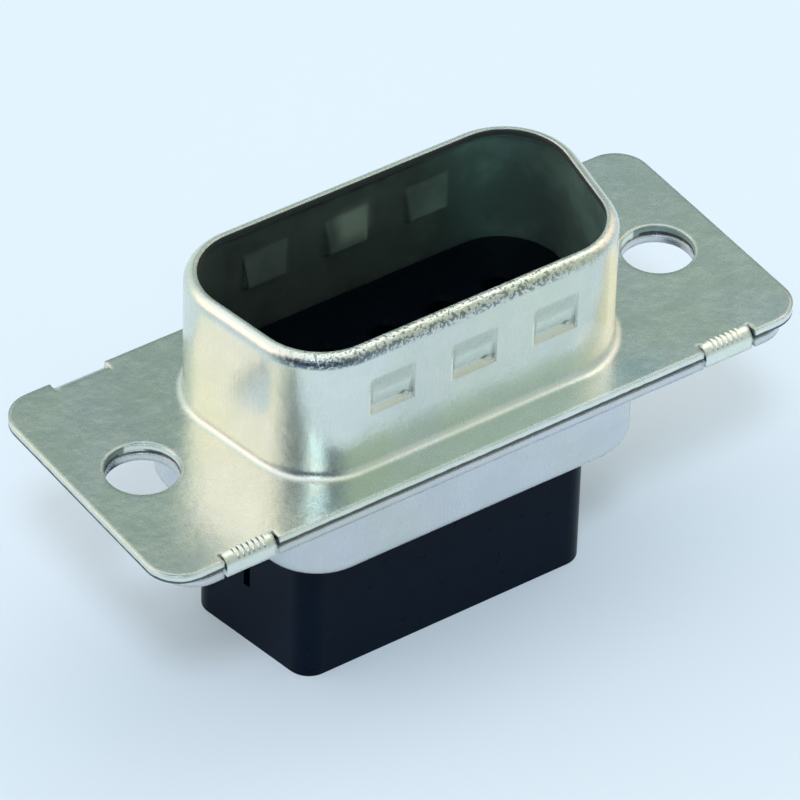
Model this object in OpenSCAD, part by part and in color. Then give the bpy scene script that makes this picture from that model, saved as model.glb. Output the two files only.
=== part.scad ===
// Nine-way D-shaped connector housing for crimped contacts, plug side.
// Two pressed steel shells, held together by four folded tabs, trap a moulded
// insulator in two halves. The housing stands on the end of its rear insulator,
// with the mouth of the front hood upwards.

/* [Flanges] */
// Width of both flanges
flange_w = 12.6; // [12.3:0.1:15]
// Corner radius of the flanges
flange_corner_r = 1.5; // [0.5:0.1:2.5]
// Thickness of the steel sheet of both shells
sheet_t = 0.38; // [0.3:0.01:0.45]
// Gap left between the two flanges
plate_gap = 0.1; // [0.05:0.01:0.2]
// How far the rear flange stops short of each end of the front one
rear_inset = 0.6; // [0.1:0.05:0.8]
// Distance between the two fixing holes
hole_spacing = 24.99; // [24.4:0.01:26]
// Distance from the middle of each fixing hole to the end of the front flange
flange_end = 2.905; // [2.4:0.005:4]
// Diameter of the fixing holes
hole_d = 3.05; // [2.6:0.05:3.3]

/* [Front hood] */
// Width of the mouth on its wide side
mouth_w = 16.92; // [16:0.02:17.5]
// Distance between the long sides of the mouth
mouth_h = 8.36; // [8:0.02:8.8]
// Corner radius of the mouth
mouth_r = 2.65; // [2:0.05:3.2]
// Slant of the short sides of every D shape, in degrees
side_angle = 10; // [6:0.5:14]
// Height of the hood above its flange
hood_rise = 6; // [5.4:0.1:8]
// Outer radius of the rim, which turns in to the mouth
rim_r = 0.5; // [0.46:0.01:0.7]
// Flat land between the rim's radius and the mouth
rim_land = 0.03; // [0.01:0.01:0.2]
// Inside radius of the bend between a hood and its flange
root_r = 0.3; // [0.15:0.05:0.5]

/* [Grounding dimples] */
// Number of dimples on each long side of the front hood
dimple_count = 3; // [1:1:3]
// Distance between dimples
dimple_pitch = 3.9; // [3:0.1:4.3]
// Width of a dimple
dimple_w = 2.1; // [1.4:0.1:2.6]
// Height of a dimple
dimple_h = 1.8; // [1:0.1:2.4]
// Height of a dimple's lower edge above the flange
dimple_base = 2.65; // [1.5:0.05:3]
// Depth that a dimple is pressed in
dimple_depth = 0.26; // [0.1:0.02:0.34]
// Width of the slanted faces at the sides and the lower edge of a dimple
dimple_side = 0.16; // [0.08:0.02:0.3]

/* [Rear hood] */
// How far the outside of the rear hood stands out beyond the mouth
rear_step = 1.2; // [0.9:0.02:1.3]
// Outer corner radius of the rear hood
rear_r = 2.6; // [2:0.1:3.2]
// Distance from the front face of the flange to the end of the rear hood
rear_drop = 4.5; // [3.6:0.1:5.5]
// Outer radius of the bend between the rear hood and its floor
floor_r = 0.5; // [0.46:0.01:0.7]

/* [Crimp tabs] */
// Distance of each tab from the middle of the flange
tab_x = 11.5; // [10.4:0.1:12.4]
// Width of a tab
tab_w = 2.3; // [1.6:0.1:2.8]
// Outer radius of a tab's bend
tab_bend_r = 0.5; // [0.46:0.01:0.6]
// Width of the relief slit beside a tab
tab_slit = 0.14; // [0.08:0.02:0.24]
// How far a tab's toe is clinched in under the rear flange
tab_toe = 0.24; // [0.1:0.02:0.3]
// Clearance between a tab and its notch in the rear flange
tab_clear = 0.04; // [0.02:0.01:0.1]

/* [Insulator] */
// Contacts in the longer row
row_contacts = 5; // [3:1:5]
// Distance between contacts in a row
contact_pitch = 2.77; // [2.6:0.01:2.84]
// Distance between the two rows
row_gap = 2.84; // [2.7:0.01:2.95]
// Diameter of a contact cavity, open at the rear
cavity_d = 2.3; // [1.8:0.05:2.45]
// Diameter of the hole for a pin in the front face
pin_hole_d = 1.15; // [1.05:0.05:1.4]
// Depth of the lead-in at the mouth of each hole
lead_in = 0.18; // [0.1:0.02:0.22]
// Wall outside the rows, on the long sides of the rear block
block_wall = 0.83; // [0.6:0.01:1]
// Wall outside the rows, at the ends of the rear block
block_end_wall = 1.21; // [0.9:0.01:1.6]
// Corner radius of the rear block
block_r = 1; // [0.5:0.1:1.4]
// Distance from the front face of the flange to the end of the rear block
block_drop = 11.5; // [9:0.1:16]
// Height of the insulator's face above the front face of the flange
face_rise = 0.4; // [0.1:0.1:1.2]
// Thickness of the front insulator's shoulder
front_shoulder = 1.5; // [1:0.1:2]
// Thickness of front insulator left in front of the contact cavities
face_wall = 1; // [0.6:0.1:1.6]
// Width and depth of the groove in each end of the rear block
groove = 0.35; // [0.2:0.05:0.5]
// Distance from the flange's front face to the end of the groove
groove_drop = 8.6; // [6:0.1:9]
// Clearance of the insulators in the shells
fit_clear = 0.08; // [0.04:0.01:0.12]

/* [Hidden] */
$fn = 48;
steel = [0.72, 0.76, 0.74];
plastic = [0.08, 0.09, 0.11];
eps = 0.01;
// Flat strip that each hood's section carries out into its flange
strip = 0.2;

// Heights, from the surface that the housing stands on
flange_z = block_drop;
rear_top_z = flange_z - sheet_t - plate_gap;
rear_under_z = rear_top_z - sheet_t;
rear_end_z = flange_z - rear_drop;
seat_z = rear_end_z + sheet_t;
split_z = flange_z - sheet_t - front_shoulder;
rim_z = flange_z + hood_rise;

// Sizes of the flanges and the walls
flange_l = hole_spacing + 2*flange_end;
lip = rim_r - sheet_t + rim_land;
hood_in_r = mouth_r + lip;
hood_out_r = hood_in_r + sheet_t;
hood_out_y = mouth_h/2 + lip + sheet_t;
rear_w = mouth_w + 2*rear_step;
rear_h = mouth_h + 2*rear_step;
rear_in_r = rear_r - sheet_t;
long_row = (row_contacts - 1)*contact_pitch;
block_w = long_row + cavity_d + 2*block_end_wall;
block_h = row_gap + cavity_d + 2*block_wall;

// Corner centres of a D, anticlockwise from the right-hand end of its narrow side.
// They lie on whole microns, so that the pieces of a sweep meet exactly.
function neat(x) = round(1000*x)/1000;
function d_centres(w, h, r) =
    let (cy = neat(h/2 - r), wide = neat(w/2 - r), narrow = neat(wide - 2*cy*tan(side_angle)))
    [[narrow, -cy], [wide, cy], [-wide, cy], [-narrow, -cy]];
// Slant of a D's short sides, and the angles where its four corners begin and end
function slant(c) = atan2(c[1].x - c[0].x, c[1].y - c[0].y);
function turns(c) = [-90, -slant(c), 90, 180 + slant(c), 270];
function spoke(r, t) = r*[cos(t), sin(t)];

mouth_c = d_centres(mouth_w, mouth_h, mouth_r);
rear_c = d_centres(rear_w, rear_h, rear_r);
block_c = d_centres(block_w, block_h, block_r);

// Places of the contacts: the longer row lies on the wide side
contacts = [
    for (i = [0:row_contacts - 1]) [i*contact_pitch - long_row/2, row_gap/2],
    for (i = [0:row_contacts - 2]) [(i + 0.5)*contact_pitch - long_row/2, -row_gap/2]
];

// A flat D whose corners have radius r about the centres c
module d_face(c, r) {
    t = turns(c);
    for (p = c) translate(p) circle(r);
    polygon([for (i = [0:3]) each [c[i] + spoke(r, t[i]), c[i] + spoke(r, t[i + 1])]]);
}

// A solid D from height z0 to height z1
module d_block(c, r, z0, z1) {
    translate([0, 0, z0]) linear_extrude(z1 - z0) d_face(c, r);
}

// Sweeps a section round a D: its x is the distance from the corner centres
module d_sweep(c) {
    t = turns(c);
    for (i = [0:3]) {
        next = c[(i + 1) % 4];
        middle = (c[i] + next)/2;
        translate([c[i].x, c[i].y, 0]) rotate([0, 0, t[i]])
            rotate_extrude(angle = t[i + 1] - t[i], start = 0) children();
        translate([middle.x, middle.y, 0]) rotate([90, 0, t[i + 1]])
            linear_extrude(norm(next - c[i]), center = true) children();
    }
}

// Quarter of a bent sheet with inside radius r, curving from +x round to +y
module bend(r) {
    intersection() {
        difference() {
            circle(r + sheet_t);
            circle(r);
        }
        square(r + sheet_t);
    }
}

// Section of the front hood: bend off the flange, wall, turned rim
module front_hood_section() {
    translate([hood_out_r + root_r, flange_z - sheet_t]) square([strip, sheet_t]);
    translate([hood_out_r + root_r, flange_z + root_r]) rotate(180) bend(root_r);
    translate([hood_in_r, flange_z + root_r]) square([sheet_t, hood_rise - root_r - rim_r]);
    translate([hood_out_r - rim_r, rim_z - rim_r]) bend(rim_r - sheet_t);
    translate([mouth_r, rim_z - sheet_t]) square([rim_land, sheet_t]);
}

// Section of the rear hood: bend off the flange, wall, bend to the floor
module rear_hood_section() {
    translate([rear_r + root_r, rear_under_z]) square([strip, sheet_t]);
    translate([rear_r + root_r, rear_under_z - root_r]) rotate(90) bend(root_r);
    translate([rear_in_r, rear_end_z + floor_r])
        square([sheet_t, rear_under_z - root_r - rear_end_z - floor_r]);
    translate([rear_r - floor_r, rear_end_z + floor_r]) rotate(-90) bend(floor_r - sheet_t);
}

// Flat outline of a flange
module flange_outline(l) {
    difference() {
        union() {
            square([l, flange_w - 2*flange_corner_r], center = true);
            square([l - 2*flange_corner_r, flange_w], center = true);
            for (sx = [-1, 1], sy = [-1, 1])
                translate([sx*(l/2 - flange_corner_r), sy*(flange_w/2 - flange_corner_r)])
                    circle(flange_corner_r);
        }
        for (s = [-1, 1]) translate([s*hole_spacing/2, 0]) circle(d = hole_d);
    }
}

// Puts a shape that is drawn at the middle of the near edge at all four tabs
module at_tabs() {
    for (sx = [-1, 1], turn = [0, 180])
        rotate([0, 0, turn]) translate([sx*tab_x, -flange_w/2, 0]) children();
}

// Turns a section in y and z into a bar of the given width across x
module bar(w) {
    rotate([90, 0, 90]) translate([0, 0, -w/2]) linear_extrude(w) children();
}

// Gap that a tab and its slits leave in the edge of the front flange
module tab_gap() {
    w = tab_w + 2*tab_slit;
    translate([-w/2, -eps, flange_z - sheet_t - eps]) cube([w, tab_bend_r + eps, sheet_t + 2*eps]);
}

// One tab: bent down over the edge, with its toe clinched in under the rear flange
module tab() {
    bar(tab_w) {
        translate([tab_bend_r, flange_z - tab_bend_r]) rotate(90) bend(tab_bend_r - sheet_t);
        translate([0, rear_under_z]) square([sheet_t, flange_z - tab_bend_r - rear_under_z]);
        polygon([[sheet_t - eps, rear_under_z], [sheet_t + tab_toe, rear_under_z],
            [sheet_t - eps, rear_under_z + tab_toe]]);
    }
}

// Notch in the rear flange for a tab, with a bevel that its toe holds
module tab_notch() {
    depth = sheet_t + tab_clear;
    bar(tab_w + 2*tab_slit) {
        translate([-eps, rear_under_z - eps]) square([depth + eps, sheet_t + 2*eps]);
        polygon([[depth - eps, rear_under_z - eps], [depth + tab_toe, rear_under_z - eps],
            [depth + tab_toe, rear_under_z], [depth - eps, rear_under_z + tab_toe]]);
    }
}

// Wedge that a dimple presses in from y = 0 towards +y, deepest near its lower edge
module dimple_form() {
    half = dimple_w/2;
    intersection() {
        bar(dimple_w)
            polygon([[-eps, 0], [0, 0], [dimple_depth, dimple_side],
                [0, dimple_h], [-eps, dimple_h]]);
        linear_extrude(dimple_h)
            polygon([[-half, -eps], [half, -eps], [half, 0], [half - dimple_side, dimple_depth],
                [-half + dimple_side, dimple_depth], [-half, 0]]);
    }
}

// Places dimples on both long sides, whose faces lie at distance y from the middle
module at_dimples(y) {
    for (turn = [0, 180], i = [0:dimple_count - 1])
        rotate([0, 0, turn])
            translate([(i - (dimple_count - 1)/2)*dimple_pitch, -y, flange_z + dimple_base])
                children();
}

module front_shell() {
    color(steel) {
        difference() {
            union() {
                difference() {
                    translate([0, 0, flange_z - sheet_t]) linear_extrude(sheet_t)
                        flange_outline(flange_l);
                    d_block(mouth_c, hood_out_r + root_r + strip/2,
                        flange_z - sheet_t - eps, flange_z + eps);
                    at_tabs() tab_gap();
                }
                d_sweep(mouth_c) front_hood_section();
                at_tabs() tab();
                at_dimples(hood_out_y - sheet_t) dimple_form();
            }
            at_dimples(hood_out_y) dimple_form();
        }
    }
}

module rear_shell() {
    color(steel) {
        difference() {
            translate([0, 0, rear_under_z]) linear_extrude(sheet_t)
                flange_outline(flange_l - 2*rear_inset);
            d_block(rear_c, rear_r + root_r + strip/2, rear_under_z - eps, rear_top_z + eps);
            at_tabs() tab_notch();
        }
        d_sweep(rear_c) rear_hood_section();
        difference() {
            d_block(rear_c, rear_r - floor_r, rear_end_z, seat_z);
            d_block(block_c, block_r + fit_clear, rear_end_z - eps, seat_z + eps);
        }
    }
}

// Hole of diameter d from height z0 to z1, with a lead-in at its open end
module contact_hole(d, z0, z1, open_top) {
    mouth = open_top ? z1 - lead_in : z0 - eps;
    small = open_top ? 0 : lead_in + eps;
    translate([0, 0, z0 - eps]) cylinder(d = d, h = z1 - z0 + 2*eps);
    translate([0, 0, mouth])
        cylinder(d1 = d + 2*small, d2 = d + 2*(lead_in + eps - small), h = lead_in + eps);
}

module front_insulator() {
    color(plastic)
        difference() {
            union() {
                d_block(mouth_c, hood_in_r - fit_clear, flange_z - sheet_t, flange_z + face_rise);
                d_block(rear_c, rear_in_r - fit_clear, split_z, flange_z - sheet_t);
            }
            for (p = contacts) translate(p) {
                contact_hole(pin_hole_d, split_z, flange_z + face_rise, true);
                translate([0, 0, split_z - eps])
                    cylinder(d = cavity_d, h = flange_z + face_rise - face_wall - split_z + eps);
            }
        }
}

module rear_insulator() {
    groove_z = flange_z - groove_drop;
    color(plastic)
        difference() {
            union() {
                d_block(block_c, block_r, 0, seat_z + eps);
                d_block(rear_c, rear_in_r - fit_clear, seat_z, split_z);
            }
            for (p = contacts) translate(p) contact_hole(cavity_d, 0, split_z, false);
            for (s = [0, 1]) mirror([s, 0, 0])
                translate([(block_c[0].x + block_c[1].x)/2 + block_r/cos(slant(block_c)), 0, groove_z])
                    rotate([0, 0, -slant(block_c)]) translate([-groove, -groove/2, 0])
                        cube([2*groove, groove, seat_z - groove_z]);
        }
}

front_shell();
rear_shell();
front_insulator();
rear_insulator();
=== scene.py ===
import math

import bpy
from mathutils import Matrix, Vector


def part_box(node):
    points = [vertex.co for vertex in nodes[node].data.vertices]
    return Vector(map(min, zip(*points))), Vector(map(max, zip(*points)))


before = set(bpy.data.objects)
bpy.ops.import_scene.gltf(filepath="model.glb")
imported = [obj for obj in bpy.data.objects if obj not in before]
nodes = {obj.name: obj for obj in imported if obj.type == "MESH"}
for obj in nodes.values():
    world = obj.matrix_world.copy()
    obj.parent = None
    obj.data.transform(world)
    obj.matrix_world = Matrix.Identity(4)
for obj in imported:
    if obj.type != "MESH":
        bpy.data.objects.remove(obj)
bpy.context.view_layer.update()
scene = bpy.context.scene
mm = 0.001

scene.view_settings.view_transform = "Standard"

# Heights on the front shell are counted from its flange's front face
flangeHeight = 11.5 * mm
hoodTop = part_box("front_shell")[1].z
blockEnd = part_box("rear_insulator")[0].z
flangeFace = blockEnd + flangeHeight


class Wire:
    # A shader socket that takes part in sums, with a Math node for each
    def __init__(self, tree, socket):
        self.tree = tree
        self.socket = socket

    def join(self, operation, *values):
        return makeNode(self.tree, "ShaderNodeMath", {"operation": operation}, dict(enumerate(values)))

    def __add__(self, other):
        return self.join("ADD", self, other)

    __radd__ = __add__

    def __mul__(self, other):
        return self.join("MULTIPLY", self, other)

    __rmul__ = __mul__

    def __sub__(self, other):
        return self.join("SUBTRACT", self, other)

    def __rsub__(self, other):
        return self.join("SUBTRACT", other, self)

    def __mod__(self, other):
        return self.join("FLOORED_MODULO", self, other)

    def __rmod__(self, other):
        return self.join("FLOORED_MODULO", other, self)

    def __abs__(self):
        return self.join("ABSOLUTE", self)

    def sine(self):
        return self.join("SINE", self)

    def over(self, other):
        return self.join("MAXIMUM", self, other)


def makeNode(tree, kind, settings=None, inputs=None, output=0):
    node = tree.nodes.new(kind)
    for name, value in (settings or {}).items():
        setattr(node, name, value)
    for name, value in (inputs or {}).items():
        socket = node.inputs[name]
        if isinstance(value, Wire):
            tree.links.new(value.socket, socket)
        elif socket.type == "RGBA":
            socket.default_value = (*value, 1)
        else:
            socket.default_value = value
    return Wire(tree, node.outputs[output]) if node.outputs else node


class Finish:
    # A material on Object coordinates, with the tone, roughness and normal it has so far
    def __init__(self, name):
        self.material = bpy.data.materials.new(name)
        self.material.use_nodes = True
        self.tree = self.material.node_tree
        self.tree.nodes.clear()
        self.place = self.node("ShaderNodeTexCoord", output="Object")
        self.x, self.y, self.z = self.split(self.place)
        self.nx, self.ny, self.nz = self.split(self.node("ShaderNodeNewGeometry", output="Normal"))
        self.rise = self.z - flangeFace
        self.tone = self.rough = self.normal = None

    def node(self, kind, settings=None, inputs=None, output=0):
        return makeNode(self.tree, kind, settings, inputs, output)

    def split(self, vector):
        parts = self.node("ShaderNodeSeparateXYZ", inputs={0: vector}).socket.node
        return [Wire(self.tree, socket) for socket in parts.outputs]

    def stretched(self, scale):
        return self.node("ShaderNodeMapping", inputs={"Vector": self.place, "Scale": scale})

    def noise(self, scale, detail, roughness=0.5, vector=None):
        return self.node("ShaderNodeTexNoise", inputs={
            "Vector": vector or self.place, "Scale": scale, "Detail": detail, "Roughness": roughness})

    # Eases from nothing at one value to full at another, either way round
    def smooth(self, value, none, full, atNone=0, atFull=1):
        return self.node("ShaderNodeMapRange", {"interpolation_type": "SMOOTHSTEP"}, {
            "Value": value, "From Min": none, "From Max": full, "To Min": atNone, "To Max": atFull})

    def blend(self, factor, low, high, mode="MIX"):
        return self.node("ShaderNodeMix", {"data_type": "RGBA", "blend_type": mode},
                         {0: factor, 6: low, 7: high}, 2)

    # Colours the masked part of what is there so far
    def tint(self, mask, colour, mode="MIX"):
        self.tone = self.blend(mask, self.tone, colour, mode)

    def press(self, height, depth, strength=1):
        inputs = {"Height": height, "Distance": depth, "Strength": strength}
        if self.normal:
            inputs["Normal"] = self.normal
        self.normal = self.node("ShaderNodeBump", inputs=inputs)

    def close(self, constants):
        inputs = {"Base Color": self.tone, "Roughness": self.rough, "Normal": self.normal}
        shader = self.node("ShaderNodeBsdfPrincipled", inputs={**inputs, **constants})
        self.node("ShaderNodeOutputMaterial", inputs={"Surface": shader})
        return self.material


def giveFinish(name, material):
    slots = nodes[name].data.materials
    slots.clear()
    slots.append(material)


def timesEach(colour, shares):
    return [c * s for c, s in zip(colour, shares)]


# In the values below, a pair of places is where a mask is nothing and where it is full
tinPlate = {
    "frontColours": ((0.70, 0.75, 0.685), (0.745, 0.79, 0.725)),  # dull and clean
    # The rear shell's colours are a darker, bluer copy of the front's, painted shade under the flange
    "rearShadedColours": ((0.565, 0.595, 0.605), (0.60, 0.625, 0.645)),
    "hues": ((0.998, 0.996, 1.02), (1.0, 1.006, 0.955)),  # faint lavender and cream clouds
    "rightPaintedLight": (1.12, 1.12, 1.14),  # painted light: the tin is brighter towards the right end
    "rightSpan": (-13 * mm, 15 * mm),
    "roughness": 0.27,
    "mottleRoughness": 0.06,
    "streakRoughness": 0.08,
    "mottleScale": 900,
    "mottleSpan": (0.3, 0.7),
    "cloudScale": 310,
    "cloudSpan": (0.36, 0.64),
    "streakScale": (5200, 5200, 300),
    "grainScale": 9000,
    "rippleScale": 420,
    "hammerScale": 1900,
    "ripple": 0.009 * mm,
    "hammer": 0.012 * mm,
    "skin": 0.0055 * mm,
    "edgeEase": 0.24 * mm,  # how far the pressed edges are rounded
}


def startTinPlate(name, colours, look):
    f = Finish(name)
    mottle = f.noise(look["mottleScale"], 4)
    streak = f.noise(1, 4, 0.6, f.stretched(look["streakScale"]))
    grain = f.noise(look["grainScale"], 3)
    cloud = f.smooth(f.noise(look["cloudScale"], 3, 0.55), *look["cloudSpan"])
    f.tone = f.blend(f.smooth(mottle, *look["mottleSpan"]), *colours)
    f.tint(1, f.blend(cloud, *look["hues"]), "MULTIPLY")
    # Painted light: brighter towards the right end
    f.tint(f.smooth(f.x, *look["rightSpan"]), look["rightPaintedLight"], "MULTIPLY")
    f.rough = look["roughness"] + (mottle - 0.5) * look["mottleRoughness"]
    f.rough = f.rough + (streak - 0.5) * look["streakRoughness"]
    f.normal = f.node("ShaderNodeBevel", {"samples": 4}, {"Radius": look["edgeEase"]})
    f.press(f.noise(look["rippleScale"], 3, 0.6), look["ripple"])
    f.press(f.noise(look["hammerScale"], 2), look["hammer"])
    f.press(grain * 0.5 + streak * 0.4, look["skin"], 0.8)
    return f


hoodInside = {
    "wall": 4.33 * mm,  # inner face of the long walls, from the middle
    "wallEdge": (0.08 * mm, 0.03 * mm),
    "facing": (0, -1 * mm),  # how far a face looks back at the middle
    "roughening": 0.22,
    # Painted shade: the inside takes this share of the dull tin's colour
    "tint": (0.56, 0.64, 0.64),
    "patchScale": 330,
    "patchSpan": (0.36, 0.62, 0.7, 1),
    "paintedHighlight": (1.75, 2.15, 2.15),  # painted highlight, a patch near the right end of the far wall
    "highlightStart": (3.0 * mm, 7.0 * mm),
    "highlightEnd": (9.4 * mm, 7.9 * mm),
    "lightened": (2.1, 2.0, 1.85),  # painted highlight on the middle dimple of the far wall
    "highlightX": 0.35 * mm,
    "highlightRise": 3.9 * mm,
    "highlightHalfWidth": (1.15 * mm, 0.45 * mm),
    "highlightHalfHeight": (1.05 * mm, 0.35 * mm),
    "highlightSide": (1 * mm, 3 * mm),
}


def dullHoodInside(f, look):
    # The pressed inside of the hood is rougher than the outside, and painted shade darkens its colour in
    # patches
    wallEdge = [look["wall"] + gap for gap in look["wallEdge"]]
    inward = f.smooth(f.x * f.nx + f.y * f.ny, *look["facing"]) * f.smooth(abs(f.y), *wallEdge)
    f.rough = f.rough + inward * look["roughening"]
    shadedTin = timesEach(look["tint"], tinPlate["frontColours"][0])
    # Painted highlight near the right end of the far wall
    paintedHighlight = f.smooth(f.x, *look["highlightStart"]) * f.smooth(f.x, *look["highlightEnd"])
    # Painted highlight on the middle dimple of the far wall
    lightened = f.smooth(abs(f.x - look["highlightX"]), *look["highlightHalfWidth"]) * f.smooth(f.y, *look["highlightSide"])
    lightened = lightened * f.smooth(abs(f.rise - look["highlightRise"]), *look["highlightHalfHeight"])
    inside = f.blend(paintedHighlight, shadedTin, timesEach(shadedTin, look["paintedHighlight"]))
    inside = f.blend(lightened, inside, timesEach(shadedTin, look["lightened"]))
    patchy = f.smooth(f.noise(look["patchScale"], 3, 0.6), *look["patchSpan"])
    f.tint(inward, f.blend(patchy, (0, 0, 0), inside))
    return inward


hoodOutside = {
    "wallEdge": (0, 0.1 * mm),
    "shade": (0.885, 0.88, 0.86),  # the walls away from the left end
    "shadeSpan": (-5.6 * mm, -2.8 * mm),
    "shadeRise": (1.3 * mm, 2.5 * mm),
    "stripReflectionTint": (0.89, 0.97, 1.06),  # painted reflection tint on the flange in front of the hood
    "stripY": (-4.8 * mm, -5.2 * mm),
    "stripX": (9.5 * mm, 7.5 * mm),
    "stripRise": (0.3 * mm, 0.1 * mm),
    "stripFacing": (0.5, 0.9),
    "root": (0.98, 0.93, 0.80),  # painted warm highlight at the foot of the wall at the right end
    "rootStart": (4.4 * mm, 5.8 * mm),
    "rootEnd": (6.5 * mm, 5.9 * mm),
    "rootRise": (2.9 * mm, 1.5 * mm),
    "footRise": (0.1 * mm, 0.5 * mm),
}


def toneHoodOutside(f, inward, look):
    wallEdge = [hoodInside["wall"] + gap for gap in look["wallEdge"]]
    onWall = (1 - inward) * f.smooth(abs(f.y), *wallEdge)
    shaded = onWall * f.smooth(f.x, *look["shadeSpan"]) * f.smooth(f.rise, *look["shadeRise"])
    f.tint(shaded, look["shade"], "MULTIPLY")
    # Painted reflection: the flange strip in front of the hood is tinted bluer
    strip = f.smooth(f.y, *look["stripY"]) * f.smooth(abs(f.x), *look["stripX"])
    strip = strip * f.smooth(f.rise, *look["stripRise"]) * f.smooth(f.nz, *look["stripFacing"])
    f.tint(strip, look["stripReflectionTint"], "MULTIPLY")
    # Painted warm highlight at the foot of the wall at the right end
    root = onWall * f.smooth(f.rise, *look["footRise"]) * f.smooth(f.rise, *look["rootRise"])
    root = root * f.smooth(f.x, *look["rootStart"]) * f.smooth(f.x, *look["rootEnd"])
    f.tint(root, look["root"])
    return onWall


dimples = {
    "count": 3,
    "pitch": 3.9 * mm,
    "half": 1.05 * mm,
    "low": 2.65 * mm,
    "high": 4.45 * mm,
    "rowEdge": 0.1 * mm,
    # Painted shade along the top
    "dull": (0.58, 0.63, 0.555),
    "dullInset": (0, 0.22 * mm),
    "dullDown": (0.95 * mm, 0.30 * mm),
    "dullTop": (-0.05 * mm, 0.12 * mm),
    # Painted highlight down the left edge
    "paintedHighlight": (1.0, 1.0, 0.9),
    "highlightHalf": (0.14 * mm, 0.03 * mm),
    "highlightUp": (-0.1 * mm, 0.1 * mm),
    "highlightDown": (0.4 * mm, 0.9 * mm),
    # Lighter over the lower part
    "lightened": (0.80, 0.86, 0.81),
    "lighterInset": (0.1 * mm, 0.3 * mm),
    "lighterUp": (0.05 * mm, 0.3 * mm),
    "lighterDown": (0.7 * mm, 1.0 * mm),
    # Painted shade in a crease near the lower right corner
    "creaseShade": (0.30, 0.34, 0.34),
    "creaseAcross": 0.63 * mm,
    "creaseUp": 0.25 * mm,
    "creaseFlatness": 0.45,
    "creaseSize": (0.15 * mm, 0.06 * mm),
}


# Painted shade and highlights on the dimples
def paintDimpleShadeAndHighlights(f, onWall, look):
    pitch, half = look["pitch"], look["half"]
    reach = pitch * look["count"] / 2
    across = (f.x + reach) % pitch - pitch / 2
    inset = half - abs(across)
    up = f.rise - look["low"]
    down = look["high"] - f.rise
    onWall = onWall * f.smooth(abs(f.x), reach, reach - look["rowEdge"])
    # Painted shade along the top of each dimple
    dull = f.smooth(inset, *look["dullInset"]) * f.smooth(down, *look["dullDown"])
    f.tint(dull * f.smooth(down, *look["dullTop"]) * onWall, look["dull"])
    # Painted highlight down the left edge of each dimple
    paintedHighlight = f.smooth(abs(across + half), *look["highlightHalf"]) * f.smooth(up, *look["highlightUp"])
    f.tint(paintedHighlight * f.smooth(down, *look["highlightDown"]) * onWall, look["paintedHighlight"])
    # Lighter over the lower part of each dimple
    lightened = f.smooth(inset, *look["lighterInset"]) * f.smooth(up, *look["lighterUp"])
    f.tint(lightened * f.smooth(down, *look["lighterDown"]) * onWall, look["lightened"])
    # Painted shade in the crease near each dimple's lower right corner
    off = abs(across - look["creaseAcross"]) * look["creaseFlatness"] + abs(up - look["creaseUp"])
    f.tint(f.smooth(off, *look["creaseSize"]) * onWall, look["creaseShade"])


hoodRim = {
    "depth": (0.56 * mm, 0.40 * mm),  # below the hood's top
    "bandDepth": (0.10 * mm, 0.24 * mm),  # the lower half of the rim is pitted most, and painted dark at the near-left corner
    "grain": 0.032 * mm,
    "grainScale": 7500,
    "pitAndDarkReflectionColour": (0.105, 0.15, 0.20),
    "pitShare": 0.75,
    "pitLevel": (0.48, 0.34),
    "bandPits": 0.08,
    "cornerPaintedDark": 0.13,
    "cornerY": (-2.2 * mm, -3.4 * mm),
    "cornerX": (-3.0 * mm, -5.4 * mm),
    "cornerDarkLevel": (0.66, 0.46, 0.25, 0.9),
    # Where the skin is coarse, and how much of it is left elsewhere
    "near": (1 * mm, -3 * mm, 0.15, 1),
    "pastLeft": (-8.2 * mm, -6.8 * mm, 0.1, 1),
    "beforeRight": (7 * mm, 2 * mm, 0.2, 1),
}


def peelHoodRim(f, look):
    # The drawn rim has an orange-peel skin, coarser and pitted along the near side. The pits' dark blue
    # is partly real pitting and partly painted dark reflection
    rim = f.smooth(f.z, *(hoodTop - depth for depth in look["depth"]))
    coarse = f.smooth(f.y, *look["near"]) * f.smooth(f.x, *look["pastLeft"])
    coarse = coarse * f.smooth(f.x, *look["beforeRight"])
    peel = f.noise(look["grainScale"], 1.5)
    f.press(peel * rim * coarse, look["grain"])
    band = f.smooth(f.z, *(hoodTop - depth for depth in look["bandDepth"]))
    corner = f.smooth(f.y, *look["cornerY"]) * f.smooth(f.x, *look["cornerX"])
    pitted = peel - band * (corner * look["cornerPaintedDark"] + look["bandPits"])
    pitsAndDarkBand = f.smooth(pitted, *look["pitLevel"]) * rim * coarse * look["pitShare"]
    # Painted dark reflection: a dark band along the lower rim at the near-left corner
    pitsAndDarkBand = pitsAndDarkBand.over(band * corner * rim * f.smooth(peel, *look["cornerDarkLevel"]))
    f.tint(pitsAndDarkBand, look["pitAndDarkReflectionColour"])


tabBends = {
    "x": 11.5 * mm,
    "edgeY": 6.3 * mm,
    "half": 0.85 * mm,
    "sideFade": 0.2 * mm,
    "bendY": (0.62 * mm, 0.42 * mm),  # in from the flange's edge
    "bendFacing": (0.35, 0.75),
    "markPitch": 0.24 * mm,
    "markDepth": 0.020 * mm,
    "markDrift": 0.08 * mm,
    "driftScale": 1500,
}


def ridgeTabBends(f, look):
    # The tool that folds the near tabs leaves short ridges across each bend
    along = abs(f.x) - look["x"] + f.noise(look["driftScale"], 2) * look["markDrift"]
    ridge = (along * (2 * math.pi / look["markPitch"])).sine()
    onTab = f.smooth(abs(along), look["half"], look["half"] - look["sideFade"])
    onTab = onTab * f.smooth(f.y, *(inset - look["edgeY"] for inset in look["bendY"]))
    onTab = onTab * f.smooth(f.nz, *look["bendFacing"])
    f.press(ridge * onTab, look["markDepth"])


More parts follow.
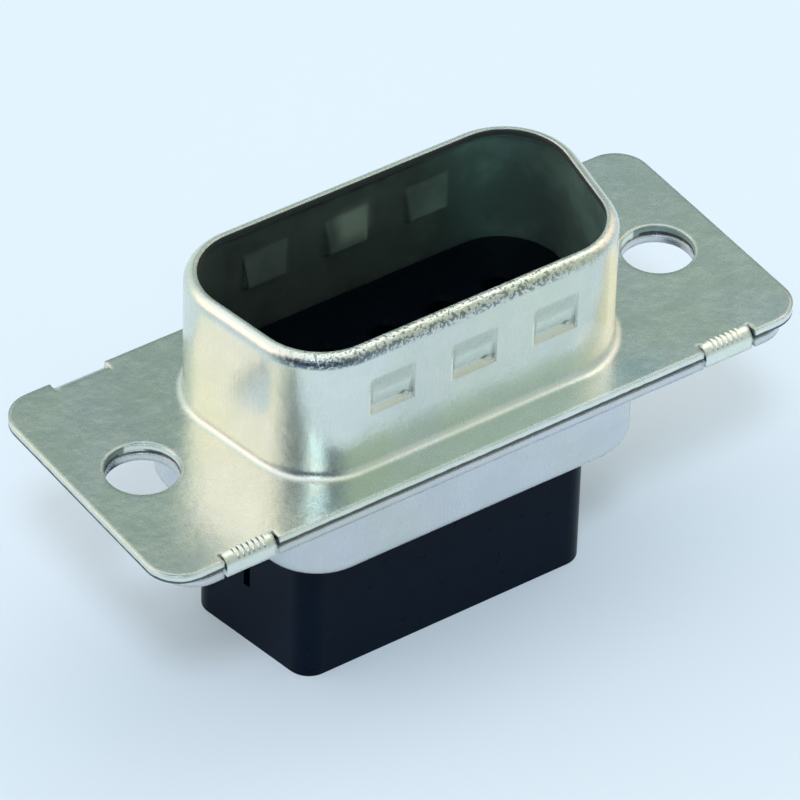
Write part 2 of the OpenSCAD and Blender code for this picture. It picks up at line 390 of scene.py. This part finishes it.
shearedEdges = {
    "burnished": 0.25 * mm,
    "tearLine": 0.04 * mm,
    "tearWander": 0.10 * mm,  # how far the line between the two wanders
    "wanderScale": 2500,
    "sheetBack": (0.6 * mm, 0.5 * mm),  # behind the front sheet
    "upright": (0.6, 0.4),  # how little a sheared face looks up or down
    "tabFacing": (0.7, 0.5),
    "tabHalf": (1.17 * mm, 1.14 * mm),
    "cutDepth": (0.34 * mm, 0.28 * mm),  # of the rim's cut end, below the hood's top
    "fractureAndShadeColour": (0.14, 0.16, 0.16),
    "roughening": 0.3,
}


def tearShearedEdges(f, inward, look):
    # A sheared edge is burnished at the top and torn and rough below. The torn part's dark colour is
    # partly its own and partly painted shade of the gap between the sheets
    depth = (f.noise(look["wanderScale"], 3) - 0.5) * look["tearWander"] - f.rise
    torn = f.smooth(depth, look["burnished"], look["burnished"] + look["tearLine"])
    torn = torn * f.smooth(abs(f.nz), *look["upright"]) * f.smooth(depth, *look["sheetBack"])
    # The bent faces of the tabs aren't sheared, but their sides are
    onTab = f.smooth(abs(abs(f.x) - tabBends["x"]), *look["tabHalf"])
    torn = torn * (1 - onTab * f.smooth(abs(f.nx), *look["tabFacing"]))
    # The rim's cut end faces into the hood
    cut = inward * f.smooth(f.z, *(hoodTop - down for down in look["cutDepth"]))
    torn = torn.over(cut)
    # Dark torn faces and cut end: partly real fracture, partly painted shade
    f.tint(torn, look["fractureAndShadeColour"])
    f.rough = f.rough + torn * look["roughening"]


def makeFrontShellFinish():
    f = startTinPlate("frontTinPlate", tinPlate["frontColours"], tinPlate)
    inward = dullHoodInside(f, hoodInside)
    onWall = toneHoodOutside(f, inward, hoodOutside)
    paintDimpleShadeAndHighlights(f, onWall, dimples)
    peelHoodRim(f, hoodRim)
    ridgeTabBends(f, tabBends)
    tearShearedEdges(f, inward, shearedEdges)
    return f.close({"Metallic": 1})


def makeRearShellFinish():
    # Its darker colours are painted shade
    return startTinPlate("rearTinPlate", tinPlate["rearShadedColours"], tinPlate).close({"Metallic": 1})


mouldedBlack = {
    "blockColour": (0.0003, 0.0052, 0.0150),
    "blockSpecular": 0.065,
    # Painted shade: the core inside the hood is a darker, less glossy copy of the black
    "coreShadedColour": (0.0006, 0.0016, 0.0030),
    "coreShadedSpecular": 0.02,
    "cloudShares": (0.7, 1.3),
    "cloudScale": 1400,
    "roughness": 0.30,
    "cloudRoughness": 0.14,
    "grain": 0.006 * mm,
    "grainScale": 9000,
}


def makeMouldedBlack(name, colour, specular, look):
    f = Finish(name)
    cloud = f.noise(look["cloudScale"], 3)
    f.tone = f.blend(cloud, *([c * share for c in colour] for share in look["cloudShares"]))
    f.rough = look["roughness"] + (cloud - 0.5) * look["cloudRoughness"]
    f.press(f.noise(look["grainScale"], 2), look["grain"], 0.5)
    return f.close({"Specular IOR Level": specular})


giveFinish("front_shell", makeFrontShellFinish())
giveFinish("rear_shell", makeRearShellFinish())
# The core's darker colour and lower gloss are painted shade inside the hood
giveFinish("front_insulator", makeMouldedBlack(
    "mouldedCore", mouldedBlack["coreShadedColour"], mouldedBlack["coreShadedSpecular"], mouldedBlack))
giveFinish("rear_insulator", makeMouldedBlack(
    "mouldedBlack", mouldedBlack["blockColour"], mouldedBlack["blockSpecular"], mouldedBlack))
print("finishes made")


paleFloor = {
    "size": 0.9,
    "gap": 0.02 * mm,  # under the block, so that the two don't share a plane
    "colour": (0.68, 0.765, 0.835),
    "roughness": 0.9,
    "specular": 0.1,
    "glow": (0.78, 0.93, 1.0),
    "glowShare": 0.17,
}


def makeFloor(look):
    bpy.ops.object.select_all(action="DESELECT")
    bpy.ops.mesh.primitive_plane_add(size=look["size"], location=(0, 0, blockEnd - look["gap"]))
    floor = bpy.context.object
    floor.name = "studioFloor"
    bpy.ops.object.transform_apply(location=True)
    f = Finish("paleFloor")
    lit = f.node("ShaderNodeBsdfPrincipled", inputs={
        "Base Color": look["colour"],
        "Roughness": look["roughness"],
        "Specular IOR Level": look["specular"],
    })
    # Part of the floor's paleness is its own, so that the shadow on it stays light
    glowing = f.node("ShaderNodeEmission", inputs={"Color": look["glow"]})
    mirrored = f.node("ShaderNodeLightPath", output="Is Glossy Ray")
    seen = f.node("ShaderNodeLightPath", output="Is Camera Ray").over(mirrored)
    mixed = f.node("ShaderNodeMixShader", inputs={0: seen * look["glowShare"], 1: lit, 2: glowing})
    # Seen from below, the floor lets the underside show
    clear = f.node("ShaderNodeBsdfTransparent")
    behind = f.node("ShaderNodeNewGeometry", output="Backfacing")
    mixed = f.node("ShaderNodeMixShader", inputs={0: behind, 1: mixed, 2: clear})
    f.node("ShaderNodeOutputMaterial", inputs={"Surface": mixed})
    floor.data.materials.append(f.material)


def heading(azimuth, elevation):
    # A unit vector, its azimuth counted from +X towards +Y
    a, e = math.radians(azimuth), math.radians(elevation)
    return Vector((math.cos(a) * math.cos(e), math.sin(a) * math.cos(e), math.sin(e)))


studioSky = {
    "base": (0.52, 0.57, 0.575),
    # Soft round patches: azimuth, elevation, radius of the full part, radius of the whole, colour
    "patches": {
        "greyBack": (54, 38, 24, 42, (0.195, 0.296, 0.296)),
        "paleBack": (106, 6, 26, 44, (0.80, 0.88, 0.88)),
        "frontRight": (-54, 42, 12, 28, (0.60, 0.66, 0.56)),
        "warmLeft": (148, 38, 14, 34, (1.86, 1.55, 1.40)),
        "warmRight": (8, 36, 13, 31, (1.20, 1.03, 0.87)),
        "nearSide": (-128, 20, 28, 46, (0.05, 0.085, 0.13)),
        "nearBox": (-126, 42, 4, 11, (3.6, 4.0, 4.4)),
        "overhead": (120, 80, 28, 43, (1.16, 1.20, 1.22)),
        "keyBox": (15, 60, 6, 14, (2.2, 2.2, 2.1)),
    },
}


def makeSky(look):
    world = bpy.data.worlds.new("studioWorld")
    scene.world = world
    world.use_nodes = True
    tree = world.node_tree
    tree.nodes.clear()
    ray = makeNode(tree, "ShaderNodeTexCoord", output="Generated")
    light = look["base"]
    for azimuth, elevation, inner, outer, colour in look["patches"].values():
        axis = heading(azimuth, elevation)
        along = makeNode(tree, "ShaderNodeVectorMath", {"operation": "DOT_PRODUCT"},
                         {0: ray, 1: axis}, "Value")
        fade, full = (math.cos(math.radians(radius)) for radius in (outer, inner))
        patch = makeNode(tree, "ShaderNodeMapRange", {"interpolation_type": "SMOOTHSTEP"}, {
            "Value": along, "From Min": fade, "From Max": full})
        light = makeNode(tree, "ShaderNodeMix", {"data_type": "RGBA"}, {0: patch, 6: light, 7: colour}, 2)
    shader = makeNode(tree, "ShaderNodeBackground", inputs={"Color": light})
    makeNode(tree, "ShaderNodeOutputWorld", inputs={"Surface": shader})


softbox = {
    "azimuth": -126,
    "elevation": 56,
    "spread": 10,
    "energy": 0.97,
    "colour": (0.88, 0.98, 1.16),
    "distance": 400 * mm,
}


def makeSoftbox(look):
    # A large soft light on the near side throws the shadow back. The metal mirrors the sky instead of it
    lamp = bpy.data.objects.new("softbox", bpy.data.lights.new("softbox", "SUN"))
    lamp.data.energy = look["energy"]
    lamp.data.angle = math.radians(look["spread"])
    lamp.data.color = look["colour"]
    lamp.visible_glossy = False
    scene.collection.objects.link(lamp)
    towards = heading(look["azimuth"], look["elevation"])
    turn = towards.to_track_quat("Z", "Y").to_matrix().to_4x4()
    lamp.matrix_world = Matrix.Translation(towards * look["distance"]) @ turn


makeFloor(paleFloor)
makeSky(studioSky)
makeSoftbox(softbox)
print("studio made")


viewpoint = {
    "azimuth": -35.64,  # from -Y towards +X
    "elevation": 40.50,
    "roll": 1.75,
    "distance": 282.8 * mm,
    "lens": 318.7,
    "sensor": 36,
    "across": -0.20 * mm,
    "upward": -1.71 * mm,
    "clipping": (10 * mm, 10000 * mm),
}


def makeCamera(look):
    back = heading(look["azimuth"] - 90, look["elevation"])
    level = heading(look["azimuth"], 0)
    roll = math.radians(look["roll"])
    right = math.cos(roll) * level + math.sin(roll) * back.cross(level)
    up = back.cross(right)
    camera = bpy.data.objects.new("productCamera", bpy.data.cameras.new("productCamera"))
    camera.data.lens, camera.data.sensor_width = look["lens"], look["sensor"]
    camera.data.clip_start, camera.data.clip_end = look["clipping"]
    scene.collection.objects.link(camera)
    place = Vector((0, 0, flangeFace)) + back * look["distance"]
    place += right * look["across"] + up * look["upward"]
    camera.matrix_world = Matrix.Translation(place) @ Matrix((right, up, back)).transposed().to_4x4()
    scene.camera = camera


makeCamera(viewpoint)
print("camera made")
